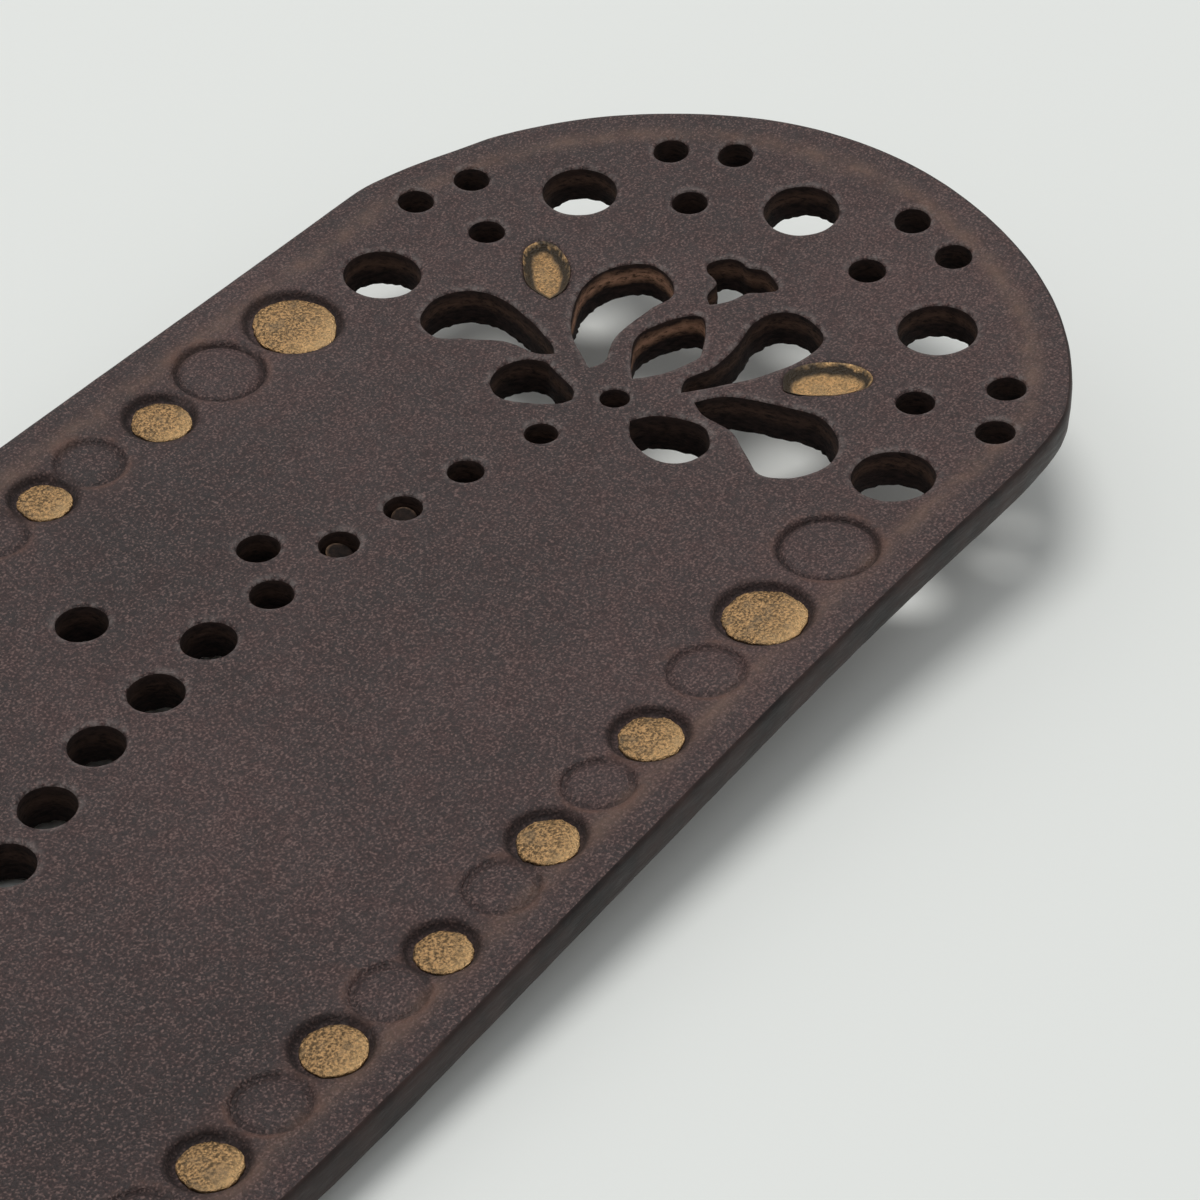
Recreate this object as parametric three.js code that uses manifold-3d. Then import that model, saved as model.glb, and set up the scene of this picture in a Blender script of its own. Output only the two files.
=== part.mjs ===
// Decorated leather strap: one layer of thick leather with rounded ends, cut right through by
// punches into a flower, a stem of dots and rows of holes, and stamped along both sides with
// circles that are left blind or filled with gold paint in turn.  Millimetres, +Z up.
// X runs along the strap, Y across it, and the strap lies with its middle on Z = 0 and both ends up.
import * as THREE from 'three';
import { mergeVertices } from 'three/addons/utils/BufferGeometryUtils.js';
import Module from 'manifold-3d';

// Driving dimensions
const length = 200; // along the leather, before the ends rise
const width = 50.8;
const thickness = 2.8;
const headBulge = 1.6; // the round end is an arc whose radius is half the width and this much more
const headOffset = -0.7; // the hand-cut end is this far off the strap's midline
const cornerSoftness = 4; // length of side that blends into the round end
const bevelWidth = 0.45; // the bevel round both edges of the leather
const bevelHeight = 0.7;
const restHalf = 8; // half of the stretch that lies flat at mid-length
const liftRun = 12; // past it the leather bends up over this length and then goes on straight
const liftAngle = 0.085; // slope of that straight part, in radians
const curlRun = 35.7; // the last stretch of each end, which curls up further
const curlAngle = 0.245; // how much steeper the very end is
const flatHalf = 8; // half of the stripe that lies flat on the table
const cupRise = 1; // the long edges stand this much above the midline

const arcHoleRadius = 2.55; // five large holes round the end
const arcHoleInset = 7.8; // from the end's edge to their middles
const arcHoleStep = 46.5 * Math.PI / 180;
const dotRadius = 1.25; // the small holes between them, in threes
const dotOuterInset = 4;
const dotInnerInset = 9.4;
const dotSpread = 5.6 * Math.PI / 180;

const stampDepth = 0.55; // a circle that is filled with gold
const grooveWidth = 0.5; // a circle that is left blind is only a ring
const grooveDepth = 0.35;
const leafDepth = 0.9; // the two gold leaves are stamped deeper
const goldThickness = 0.3;
const goldClearance = 0.1; // between the gold and the floor of its stamp
const goldInset = 0.4; // between the gold and the wall of its stamp
const plugClearance = 0.15; // between a leftover plug and the wall of its hole
const plugThickness = 1.6;
const plugDepth = 0.7; // top of a leftover plug, below the face of the leather
const stampPitch = 4.6; // the rows go on at this pitch past the stamps placed by hand
const stampRadius = 2.1;
const stemPitch = 5;
const stemRadius = 1.6;
const midGap = 2; // no stamp or dot stands nearer to mid-length than this

const liftCells = 3; // straight pieces that stand for the bend between rest and lift
const reach = 6; // how far the outline's solid stands clear of the leather
const clear = 1; // how far a cutter does
const leatherBrown = 0x4b4140;
const goldPaint = 0xb08c5a;

const headRadius = width / 2 + headBulge;
// Middle of the arc of the round end, on the leather laid out flat
const head = new THREE.Vector2(length / 2 - headRadius, headOffset);
// Root of the flower: the stem's first dot
const root = new THREE.Vector2(head.x - 3.7, headOffset - 0.7);

// The stem's dots: distance back from the root, height above it, radius
const stemDots = [
  [0, 0, 1.1], [5.5, 1.6, 1.1], [11.1, 3.1, 1.2], [16, 4, 1.25], [20.8, 5, 1.3], [26.5, 5.3, 1.4],
  [31.6, 5.6, 1.6], [36.6, 5.1, 1.6], [41.6, 4.9, 1.6], [46.6, 3.8, 1.6], [51, 2.6, 1.6],
];
const budDots = [[23.8, 8.6, 1.4], [34.7, 12.4, 1.55]];
const pluggedDots = [3, 4]; // stem dots whose plug was left in the hole

// Stamped circles: distance back from the head's middle, inset from the edge, radius
const leftRow = [
  [9.5, 5.8, 3.2], [16.2, 5.5, 2.95], [21.9, 5.6, 2.3], [27.7, 5.2, 2.2], [31.8, 5.2, 2.1],
  [35.9, 5.2, 2.1], [40.7, 4.9, 2.1], [45.4, 4.7, 2.1], [50.2, 4.6, 2.1], [54.8, 4.7, 2.1],
];
const rightRow = [
  [9, 5.1, 3.1], [16, 5, 2.9], [21.9, 4.9, 2.3], [27.9, 4.6, 2.3], [32.6, 4.6, 2.1],
  [37.4, 4.5, 2.2], [41.6, 4.3, 2.1], [46.7, 4.2, 2], [50.5, 4.5, 2.1], [54.9, 4.6, 2.2],
];

// The flower's openings, from the root of the flower; each begins at its tip
const petals = {
  middle_leaf: [[2.3, 0.2], [4, 1.5], [6.2, 2.5], [8.6, 1.8], [10.1, 0.5], [9.4, -0.5], [7.2, -1.7],
    [6.2, -1.9], [4, -1.1]],
  left_comma: [[1.7, 3.1], [4, 6.1], [6.5, 7.7], [8.9, 8.5], [11.2, 8.1], [12.9, 6.3], [12.3, 4.1],
    [10.8, 3.1], [8.9, 3.5], [5.5, 3.7], [2.9, 2.8]],
  right_comma: [[2.8, -3.1], [4.2, -2.6], [6.2, -3.3], [8.9, -3.3], [11.4, -2.9], [13.2, -3.6],
    [13.7, -5.2], [12.7, -7.3], [10.6, -7.6], [8, -6.7], [5.9, -5.5]],
  left_drop: [[1.6, 5.8], [2.5, 6.8], [3.9, 9.8], [4.5, 12.3], [3.9, 14.4], [1.9, 15.5],
    [-0.4, 14.9], [-1.3, 13.1], [-0.4, 11.5], [0.9, 9.1], [1, 6.8]],
  right_drop: [[2.5, -4.3], [4.2, -5.8], [5.2, -9], [5.5, -11.6], [4, -13.8], [1.7, -14.5],
    [-0.4, -13.5], [-1.3, -11.7], [-0.3, -10.1], [1.3, -7.9], [1.7, -5.6]],
  left_bud: [[-1.7, 2.1], [-0.7, 2.7], [0.2, 4.8], [0.6, 5.9], [-0.1, 7.1], [-1.6, 7.7],
    [-3.2, 7.2], [-4, 5.8], [-3.4, 4], [-2.5, 2.6]],
  right_bud: [[-1.3, -2.1], [-0.1, -3], [0.7, -4.8], [0.6, -6.4], [-1, -7.6], [-2.9, -7.1],
    [-3.6, -5.4], [-2.8, -3.3]],
  arrow: [[11.5, 0.5], [12.3, 1.2], [13.7, 1.4], [14.4, 2.6], [15.2, 3], [16.2, 2.2], [16.4, 1.3],
    [16.1, 0.6], [16.4, -0.4], [16, -1.4], [15.2, -2.3], [14.4, -1.6], [13.8, -0.8], [12.5, -0.3]],
};
const goldLeaves = {
  left: [[6.1, 9.4], [6.6, 11.5], [8.1, 13], [9.7, 14], [11.1, 13.6], [11.1, 12.3], [9.8, 10.4],
    [7.8, 9.3]],
  right: [[6.5, -8.2], [8.1, -7.4], [9.9, -8.3], [11.1, -10.4], [10.9, -12], [9.7, -12.5],
    [8, -11.4], [6.8, -9.6]],
};

// Carries a point of the flat leather, u along, t across and d above its underside, to where it
// lies: flat in the middle, cupped across, rising to both ends and curling up there.
function place(u, t, d) {
  const out = Math.abs(u);
  const bent = Math.min(Math.max(0, out - restHalf), liftRun);
  const straight = Math.max(0, out - restHalf - liftRun);
  const past = Math.max(0, out - (length / 2 - curlRun));
  const slope = liftAngle * bent / liftRun + curlAngle * (past / curlRun) ** 2;
  const curl = curlAngle / 3 * past ** 3 / curlRun ** 2;
  const rise = liftAngle * (bent ** 2 / (2 * liftRun) + straight) + curl;
  const drawnIn = liftAngle ** 2 * (bent ** 3 / (6 * liftRun ** 2) + straight / 2)
    + liftAngle * curl + curlAngle ** 2 / 10 * past ** 5 / curlRun ** 4;
  const cup = cupRise * (Math.max(0, Math.abs(t) - flatHalf) / (width / 2 - flatHalf)) ** 2;
  const lift = d + cup;
  return [Math.sign(u) * (out - drawnIn - Math.sin(slope) * lift), t, rise + Math.cos(slope) * lift];
}

function bend(geometry) {
  const points = geometry.attributes.position;
  for (let i = 0; i < points.count; i += 1) {
    points.setXYZ(i, ...place(points.getX(i), points.getY(i), points.getZ(i)));
  }
  return geometry;
}

const wasm = await Module();
wasm.setup();

function solid(geometry) {
  geometry.deleteAttribute('normal');
  geometry.deleteAttribute('uv');
  const merged = mergeVertices(geometry, 1e-5);
  return new wasm.Manifold(new wasm.Mesh({
    numProp: 3,
    vertProperties: new Float32Array(merged.attributes.position.array),
    triVerts: new Uint32Array(merged.index.array),
  }));
}

function geometryOf(manifold) {
  const mesh = manifold.getMesh();
  const geometry = new THREE.BufferGeometry();
  geometry.setAttribute('position', new THREE.BufferAttribute(mesh.vertProperties, 3));
  geometry.setIndex(new THREE.BufferAttribute(mesh.triVerts, 1));
  geometry.computeVertexNormals();
  return geometry;
}

// A prism of a flat outline between two depths of the leather, bent with it
function prism(shape, low, high, segments) {
  const flat = new THREE.ExtrudeGeometry(shape, {
    depth: high - low, bevelEnabled: false, curveSegments: segments,
  });
  return bend(flat.translate(0, 0, low));
}

const corners = (radius) => (radius < 2 ? 4 : 6); // half the sides of a round cutter

function disc(centre, radius) {
  const shape = new THREE.Shape();
  shape.absarc(centre.x, centre.y, radius, 0, 2 * Math.PI);
  return shape;
}

// A ring whose section is a V, which presses a groove down from the leather's face
function grooveRing({ x, y, radius }) {
  const slope = grooveWidth / 2 / grooveDepth;
  const wide = slope * clear;
  const bottom = new THREE.Vector2(radius - grooveWidth / 2, thickness - grooveDepth);
  const outer = new THREE.Vector2(radius + wide, thickness + clear);
  const inner = new THREE.Vector2(radius - grooveWidth - wide, thickness + clear);
  const flat = new THREE.LatheGeometry([bottom, outer, inner, bottom.clone()], 9);
  return bend(flat.rotateX(Math.PI / 2).translate(x, y, 0));
}

// A smooth outline through its points that keeps a sharp tip at the first one
function leaf(points, inset = 0) {
  const placed = points.map(([x, y]) => new THREE.Vector2(root.x + x, root.y + y));
  const middle = placed.reduce((sum, p) => sum.add(p), new THREE.Vector2()).divideScalar(placed.length);
  const drawn = placed.map((p) => {
    const out = p.clone().sub(middle);
    return middle.clone().add(out.setLength(out.length() - inset));
  });
  const sides = 15;
  return new THREE.Shape(new THREE.SplineCurve([...drawn, drawn[0]]).getSpacedPoints(sides));
}

// Everything is laid out for one half and repeated, turned half a turn, for the other
const halfTurn = (geometry, half) => (half < 0 ? geometry.rotateZ(Math.PI) : geometry);

function rowStamps(row, side) {
  const stamps = row.map(([back, inset, radius]) => ({
    x: head.x - back, y: side * (width / 2 - inset), radius,
  }));
  const lastInset = row.at(-1)[1];
  for (let x = stamps.at(-1).x - stampPitch; x > midGap; x -= stampPitch) {
    stamps.push({ x, y: side * (width / 2 - lastInset), radius: stampRadius });
  }
  return stamps
    .map((stamp, i) => ({ ...stamp, gold: (i % 2 === 0) === (side > 0) }))
    .filter((stamp) => stamp.x > midGap);
}

function stemHoles() {
  const dots = stemDots.map(([back, up, radius]) => ({ x: root.x - back, y: root.y + up, radius }));
  const last = dots.at(-1);
  for (let x = last.x - stemPitch; x > midGap; x -= stemPitch) {
    dots.push({ x, y: last.y, radius: stemRadius });
  }
  const buds = budDots.map(([back, up, radius]) => ({ x: root.x - back, y: root.y + up, radius }));
  return { dots: dots.filter((dot) => dot.x > midGap), buds: buds.filter((bud) => bud.x > midGap) };
}

function headHoles() {
  const at = (angle, distance, radius) => ({
    x: head.x + distance * Math.cos(angle), y: head.y + distance * Math.sin(angle), radius,
  });
  const holes = [];
  for (let i = -2; i <= 2; i += 1) {
    holes.push(at(i * arcHoleStep, headRadius - arcHoleInset, arcHoleRadius));
  }
  for (let i = -1.5; i <= 1.5; i += 1) {
    const angle = i * arcHoleStep;
    holes.push(at(angle - dotSpread, headRadius - dotOuterInset, dotRadius));
    holes.push(at(angle + dotSpread, headRadius - dotOuterInset, dotRadius));
    holes.push(at(angle, headRadius - dotInnerInset, dotRadius));
  }
  return holes;
}

// The leather's outline, with both ends round and their corners eased into the sides
function strapOutline() {
  const half = width / 2;
  const ease = cornerSoftness / headRadius;
  const low = Math.asin((-half - headOffset) / headRadius);
  const high = Math.asin((half - headOffset) / headRadius);
  const onArc = (angle) => new THREE.Vector2(
    head.x + headRadius * Math.cos(angle), headOffset + headRadius * Math.sin(angle),
  );
  const corner = (angle, side) => new THREE.Vector2(onArc(angle).x, side * half);
  const beside = (angle, side) => new THREE.Vector2(onArc(angle).x - cornerSoftness, side * half);
  const bendLines = Array.from({ length: liftCells + 1 }, (_, i) => restHalf + (liftRun * i) / liftCells);
  const points = [
    ...bendLines.map((x) => new THREE.Vector2(x, -half)),
    ...new THREE.QuadraticBezierCurve(beside(low, -1), corner(low, -1), onArc(low + ease)).getPoints(3),
    ...new THREE.EllipseCurve(
      head.x, head.y, headRadius, headRadius, low + ease, high - ease,
    ).getPoints(15).slice(1, -1),
    ...new THREE.QuadraticBezierCurve(onArc(high - ease), corner(high, 1), beside(high, 1)).getPoints(3),
    ...bendLines.reverse().map((x) => new THREE.Vector2(x, half)),
  ];
  return new THREE.Shape([...points, ...points.map((point) => point.clone().negate())]);
}

// A sheet of leather larger than the strap, already bent: a box whose grid lines follow the bend
function bentSheet() {
  const past = 3; // beyond the outline on every side
  // Grid lines on both sides of the middle: each stretch ends at a distance out, in some cells
  const lines = (flat, ...stretches) => {
    const list = [-flat, flat];
    for (const [end, cells] of stretches) {
      const start = list.at(-1);
      for (let i = 1; i <= cells; i += 1) {
        const step = start + ((end - start) * i) / cells;
        list.push(step);
        list.unshift(-step);
      }
    }
    return list;
  };
  const along = lines(
    restHalf, [restHalf + liftRun, liftCells], [length / 2 - curlRun, 1], [length / 2 + past, 4],
  );
  const across = lines(flatHalf, [width / 2 + past, 3]);
  const box = new THREE.BoxGeometry(
    along.length - 1, across.length - 1, 1, along.length - 1, across.length - 1, 1,
  );
  box.translate((along.length - 1) / 2, (across.length - 1) / 2, 0.5);
  const points = box.attributes.position;
  for (let i = 0; i < points.count; i += 1) {
    const [x, y] = [Math.round(points.getX(i)), Math.round(points.getY(i))];
    points.setXYZ(i, along[x], across[y], points.getZ(i) * thickness);
  }
  return bend(box);
}

// The outline as a solid whose wall carries the bevels, which go on past the leather's faces
function edgeForm() {
  const grow = (bevelHeight + reach) / bevelHeight;
  const form = new THREE.ExtrudeGeometry(strapOutline(), {
    depth: thickness - 2 * bevelHeight,
    bevelThickness: bevelHeight * grow,
    bevelSize: bevelWidth * grow,
    bevelOffset: -bevelWidth * grow,
    bevelSegments: 1,
  });
  return bend(form.translate(0, 0, bevelHeight));
}

const rows = { left: rowStamps(leftRow, 1), right: rowStamps(rightRow, -1) };
const stem = stemHoles();
const finish = {
  leather: new THREE.MeshStandardMaterial({ color: leatherBrown, roughness: 0.62, metalness: 0 }),
  gold: new THREE.MeshStandardMaterial({ color: goldPaint, roughness: 0.45, metalness: 0.75 }),
};

function leatherStrap() {
  const cutters = [];
  for (const half of [1, -1]) {
    const through = (shape, segments) => {
      cutters.push(solid(halfTurn(prism(shape, -clear, thickness + clear, segments), half)));
    };
    const sunk = (shape, depth, segments) => {
      cutters.push(solid(halfTurn(prism(shape, thickness - depth, thickness + clear, segments), half)));
    };
    for (const hole of [...headHoles(), ...stem.dots, ...stem.buds]) {
      through(disc(hole, hole.radius), corners(hole.radius));
    }
    for (const outline of Object.values(petals)) {
      through(leaf(outline), 1);
    }
    for (const outline of Object.values(goldLeaves)) {
      sunk(leaf(outline), leafDepth, 1);
    }
    for (const stamp of [...rows.left, ...rows.right]) {
      if (stamp.gold) {
        sunk(disc(stamp, stamp.radius), stampDepth, 5);
      } else {
        cutters.push(solid(halfTurn(grooveRing(stamp), half)));
      }
    }
  }
  const strap = solid(bentSheet()).intersect(solid(edgeForm()));
  return geometryOf(strap.subtract(wasm.Manifold.union(cutters)));
}

const model = new THREE.Group();

function add(name, geometry, material) {
  const mesh = new THREE.Mesh(geometry, material.clone());
  mesh.name = name;
  model.add(mesh);
}

add('leather_strap', leatherStrap(), finish.leather);

for (const [half, end] of [[1, 'front'], [-1, 'back']]) {
  for (const [side, stamps] of Object.entries(rows)) {
    const golds = stamps.filter((stamp) => stamp.gold);
    golds.forEach((stamp, i) => {
      const floor = thickness - stampDepth + goldClearance;
      const fill = prism(disc(stamp, stamp.radius - goldInset), floor, floor + goldThickness, 6);
      add(`gold_disc_${end}_${side}_${i + 1}`, halfTurn(fill, half), finish.gold);
    });
  }
  for (const [side, outline] of Object.entries(goldLeaves)) {
    const floor = thickness - leafDepth + goldClearance;
    const fill = prism(leaf(outline, goldInset), floor, floor + goldThickness, 1);
    add(`gold_leaf_${end}_${side}`, halfTurn(fill, half), finish.gold);
  }
}

pluggedDots.filter((i) => stem.dots[i]).forEach((i, k) => {
  const dot = stem.dots[i];
  const top = thickness - plugDepth;
  const plug = prism(disc(dot, dot.radius - plugClearance), top - plugThickness, top, 6);
  add(`punch_plug_${k + 1}`, plug, finish.leather);
});

export default model;
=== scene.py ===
import math

import bpy
import numpy as np
from mathutils import Matrix, Vector, kdtree, noise
from mathutils.geometry import delaunay_2d_cdt


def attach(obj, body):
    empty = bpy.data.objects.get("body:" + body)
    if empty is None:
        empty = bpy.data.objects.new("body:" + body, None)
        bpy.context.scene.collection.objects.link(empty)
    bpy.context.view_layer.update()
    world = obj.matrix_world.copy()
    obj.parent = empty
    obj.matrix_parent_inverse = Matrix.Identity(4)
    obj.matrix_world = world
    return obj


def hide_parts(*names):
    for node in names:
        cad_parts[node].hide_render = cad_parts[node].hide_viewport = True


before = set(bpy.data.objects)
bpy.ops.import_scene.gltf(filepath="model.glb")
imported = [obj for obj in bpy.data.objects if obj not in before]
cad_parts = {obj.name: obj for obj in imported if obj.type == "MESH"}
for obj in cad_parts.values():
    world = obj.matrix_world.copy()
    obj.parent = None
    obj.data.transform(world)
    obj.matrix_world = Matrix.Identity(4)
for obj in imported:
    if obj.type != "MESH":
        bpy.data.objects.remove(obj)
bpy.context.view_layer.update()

# Camera.  It stands low over one side of the strap and looks along it towards the flower,
# so that the near half runs out of the frame.
MM = 0.001
camera_place = Vector((-61.71, -87.71, 108.33)) * MM
look_right = Vector((0.57866, -0.81441, 0.04336))
look_down = Vector((-0.46752, -0.37481, -0.80059))
look_ahead = Vector((0.66826, 0.44300, -0.59764))
camera_data = bpy.data.cameras.new("camera")
camera_data.lens = 90.12
camera_data.sensor_width = 36
camera_data.clip_start = 0.002
camera = bpy.data.objects.new("camera", camera_data)
camera.matrix_world = (
    Matrix.Translation(camera_place)
    @ Matrix((look_right, -look_down, -look_ahead)).transposed().to_4x4()
)
bpy.context.scene.collection.objects.link(camera)
bpy.context.scene.camera = camera
bpy.context.scene.view_settings.view_transform = "Standard"

# Leather strap.  One layer of thick vegetable-tanned leather, dyed dark brown from both faces and
# cut right through with hand punches, so the holes have torn, fibrous walls with an undyed core.
# All sizes are in millimetres: u along the leather, t across it, d above its underside.
strap_length = 200.0
strap_width = 50.8
strap_thickness = 2.8
rest_half = 8.0
lift_run = 12.0
lift_angle = 0.085
curl_run = 35.7
curl_angle = 0.245
flat_half = 8.0
cup_rise = 1.0
head = np.array((73.0, -0.7))
root = head + (-3.7, -0.7)


def lay(flat):
    """Where points of the flat leather lie on the strap as it rests, in metres."""
    u, t, d = np.asarray(flat, float).T
    out = np.abs(u)
    bent = np.clip(out - rest_half, 0, lift_run)
    straight = np.maximum(0, out - rest_half - lift_run)
    past = np.maximum(0, out - (strap_length / 2 - curl_run))
    slope = lift_angle * bent / lift_run + curl_angle * (past / curl_run) ** 2
    curl = curl_angle / 3 * past**3 / curl_run**2
    rise = lift_angle * (bent**2 / (2 * lift_run) + straight) + curl
    drawn_in = lift_angle**2 * (bent**3 / (6 * lift_run**2) + straight / 2)
    drawn_in += lift_angle * curl + curl_angle**2 / 10 * past**5 / curl_run**4
    cup = cup_rise * (np.maximum(0, np.abs(t) - flat_half) / (strap_width / 2 - flat_half)) ** 2
    across = np.sign(u) * (out - drawn_in - np.sin(slope) * (d + cup))
    return np.column_stack((across, t, rise + np.cos(slope) * (d + cup))) * MM


def rough(points, size, seed):
    """Smooth noise from -1 to 1 at each point, with bumps of about the given size."""
    points = np.asarray(points, float)
    if points.shape[1] == 2:
        points = np.column_stack((points, np.zeros(len(points))))
    return np.array([noise.noise(Vector(p)) for p in points / size + seed])


def even_loop(points, spacing):
    """Evenly spaced points round a closed line, anticlockwise."""
    points = np.asarray(points, float)
    turned = np.roll(points, -1, 0)
    if (points[:, 0] * turned[:, 1] - turned[:, 0] * points[:, 1]).sum() < 0:
        points = np.vstack((points[:1], points[:0:-1]))
    closed = np.vstack((points, points[:1]))
    run = np.concatenate(([0], np.cumsum(np.hypot(*np.diff(closed, axis=0).T))))
    count = max(12, round(run[-1] / spacing))
    at = np.arange(count) * run[-1] / count
    return np.column_stack([np.interp(at, run, closed[:, k]) for k in (0, 1)])


def outward(loop):
    """The direction square to the line at each point of an anticlockwise loop."""
    ahead = np.roll(loop, -1, 0) - np.roll(loop, 1, 0)
    return np.column_stack((ahead[:, 1], -ahead[:, 0])) / np.hypot(*ahead.T)[:, None]


def circle(centre, radius, count=90):
    angle = np.arange(count) * 2 * math.pi / count
    return centre + radius * np.column_stack((np.cos(angle), np.sin(angle)))


def petal(points):
    """A smooth closed line through its points, with a sharp tip at the first one."""
    knots = np.asarray(points, float) + root
    knots = np.vstack((knots, knots[:1]))
    padded = np.vstack((knots[:1], knots, knots[-1:]))
    line = []
    for a, b, c, d in zip(padded, padded[1:], padded[2:], padded[3:]):
        for k in np.arange(0, 1, 0.04):
            pull_in, pull_out = (c - a) / 2, (d - b) / 2
            line.append(
                (2 * k**3 - 3 * k**2 + 1) * b + (k**3 - 2 * k**2 + k) * pull_in
                + (3 * k**2 - 2 * k**3) * c + (k**3 - k**2) * pull_out
            )
    return np.array(line)


# Openings of the flower, from its root, each with how much undyed core shows in its wall
petals = [
    ([(2.3, .2), (4, 1.5), (6.2, 2.5), (8.6, 1.8), (10.1, .5), (9.4, -.5), (7.2, -1.7),
      (6.2, -1.9), (4, -1.1)], 0.9),
    ([(1.7, 3.1), (4, 6.1), (6.5, 7.7), (8.9, 8.5), (11.2, 8.1), (12.9, 6.3), (12.3, 4.1),
      (10.8, 3.1), (8.9, 3.5), (5.5, 3.7), (2.9, 2.8)], 1.0),
    ([(2.8, -3.1), (4.2, -2.6), (6.2, -3.3), (8.9, -3.3), (11.4, -2.9), (13.2, -3.6),
      (13.7, -5.2), (12.7, -7.3), (10.6, -7.6), (8, -6.7), (5.9, -5.5)], 0.15),
    ([(1.6, 5.8), (2.5, 6.8), (3.9, 9.8), (4.5, 12.3), (3.9, 14.4), (1.9, 15.5), (-.4, 14.9),
      (-1.3, 13.1), (-.4, 11.5), (.9, 9.1), (1, 6.8)], 0.15),
    ([(2.5, -4.3), (4.2, -5.8), (5.2, -9), (5.5, -11.6), (4, -13.8), (1.7, -14.5), (-.4, -13.5),
      (-1.3, -11.7), (-.3, -10.1), (1.3, -7.9), (1.7, -5.6)], 0.1),
    ([(-1.7, 2.1), (-.7, 2.7), (.2, 4.8), (.6, 5.9), (-.1, 7.1), (-1.6, 7.7), (-3.2, 7.2),
      (-4, 5.8), (-3.4, 4), (-2.5, 2.6)], 0.12),
    ([(-1.3, -2.1), (-.1, -3), (.7, -4.8), (.6, -6.4), (-1, -7.6), (-2.9, -7.1), (-3.6, -5.4),
      (-2.8, -3.3)], 0.05),
    ([(11.5, .5), (12.3, 1.2), (13.7, 1.4), (14.4, 2.6), (15.2, 3), (16.2, 2.2), (16.4, 1.3),
      (16.1, .6), (16.4, -.4), (16, -1.4), (15.2, -2.3), (14.4, -1.6), (13.8, -.8),
      (12.5, -.3)], 0.3),
]
# The stem's round holes and its two buds: distance back from the root, height above it, radius
stem_dots = [
    (0, 0, .93), (5.5, 1.6, 1.03), (11.1, 3.1, 1.1), (16, 4, 1.15), (20.8, 5, 1.2), (26.5, 5.3, 1.27),
    (31.6, 5.6, 1.6), (36.6, 5.1, 1.6), (41.6, 4.9, 1.6), (46.6, 3.8, 1.6), (51, 2.6, 1.6),
    (56, 2.6, 1.6), (61, 2.6, 1.6), (66, 2.6, 1.6),
    (23.8, 8.6, 1.27), (34.7, 12.4, 1.5),
]
# Stamped circles along the sides: distance back from the head's middle, inset, radius
left_row = [
    (9.5, 5.8, 3.2), (16.2, 5.5, 2.95), (21.9, 5.6, 2.3), (27.7, 5.2, 2.2), (31.8, 5.2, 2.1),
    (35.9, 5.2, 2.1), (40.7, 4.9, 2.1), (45.4, 4.7, 2.1), (50.2, 4.6, 2.1), (54.8, 4.7, 2.1),
    (59.4, 4.7, 2.1), (64, 4.7, 2.1), (68.6, 4.7, 2.1),
]
right_row = [
    (9, 5.1, 3.1), (16, 5, 2.9), (21.9, 4.9, 2.3), (27.9, 4.6, 2.3), (32.6, 4.6, 2.1),
    (37.4, 4.5, 2.2), (41.6, 4.3, 2.1), (46.7, 4.2, 2), (50.5, 4.5, 2.1), (54.9, 4.6, 2.2),
    (59.5, 4.6, 2.1), (64.1, 4.6, 2.1), (68.7, 4.6, 2.1),
]
gold_leaf_lines = {
    "left": [(6.1, 9.4), (6.6, 11.5), (8.1, 13), (9.7, 14), (11.1, 13.6), (11.1, 12.3),
             (9.8, 10.4), (7.8, 9.3)],
    "right": [(6.5, -8.2), (8.1, -7.4), (9.9, -8.3), (11.1, -10.4), (10.9, -12), (9.7, -12.5),
              (8, -11.4), (6.8, -9.6)],
}

# Round holes of the end: large ones evenly round the head, the leftmost a little further on, and
# between them small ones in threes.  Angles are in degrees round the head's middle.
large_hole_pitch = 46.5
large_hole_reach = 19.2
large_hole_radius = 2.5
leftmost_drift = 2.5
small_hole_places = ((-5.6, 23), (5.6, 23), (0, 17.6))
small_hole_radius = 1.19
holes = [(petal(points), core) for points, core in petals]
for i in range(-2, 3):
    angle = math.radians(large_hole_pitch * i + (leftmost_drift if i == 2 else 0))
    middle = head + large_hole_reach * np.array((math.cos(angle), math.sin(angle)))
    holes.append((circle(middle, large_hole_radius), 0.15))
for i in (-1.5, -0.5, 0.5, 1.5):
    for swing, distance in small_hole_places:
        angle = math.radians(large_hole_pitch * i + swing)
        middle = head + distance * np.array((math.cos(angle), math.sin(angle)))
        holes.append((circle(middle, small_hole_radius), 0.05))
for back, up, radius in stem_dots:
    holes.append((circle(root + (-back, up), radius), 0.08))

stamps = []
for side, row in ((1, left_row), (-1, right_row)):
    for i, (back, inset, radius) in enumerate(row):
        middle = np.array((head[0] - back, side * (strap_width / 2 - inset)))
        stamps.append((middle, radius, (i % 2 == 0) == (side > 0)))
leaf_lines = [petal(line) for line in gold_leaf_lines.values()]

# The cut edge: half of it listed, with a nick at the left corner, the other half turned round
half_edge = [(0, -25.4), (38, -25.4), (52, -25.4), (60, -25.5), (67, -25.75), (73, -26.1),
             (77, -26.3), (80, -26.25)]
arc_radii = [(-72, 26.95), (-60, 27), (-45, 27.1), (-20, 27.1), (0, 27.1), (20, 27.1), (40, 27.1),
             (46, 27), (51, 26.9), (56, 26.78), (58.6, 26.72), (59.6, 26.55), (64, 26.42),
             (70, 26.4), (75, 26.4), (80.4, 26.42)]
for angle in np.arange(-70, 80.5, 1.2):
    radius = np.interp(angle, *np.transpose(arc_radii))
    half_edge.append(
        (head[0] + radius * math.cos(math.radians(angle)),
         head[1] + radius * math.sin(math.radians(angle)))
    )
half_edge += [(74.5, 25.38), (70, 25.4), (56, 25.4), (36, 25.4)]
half_edge = np.array(half_edge)
edge_spacing = 0.55
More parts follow.
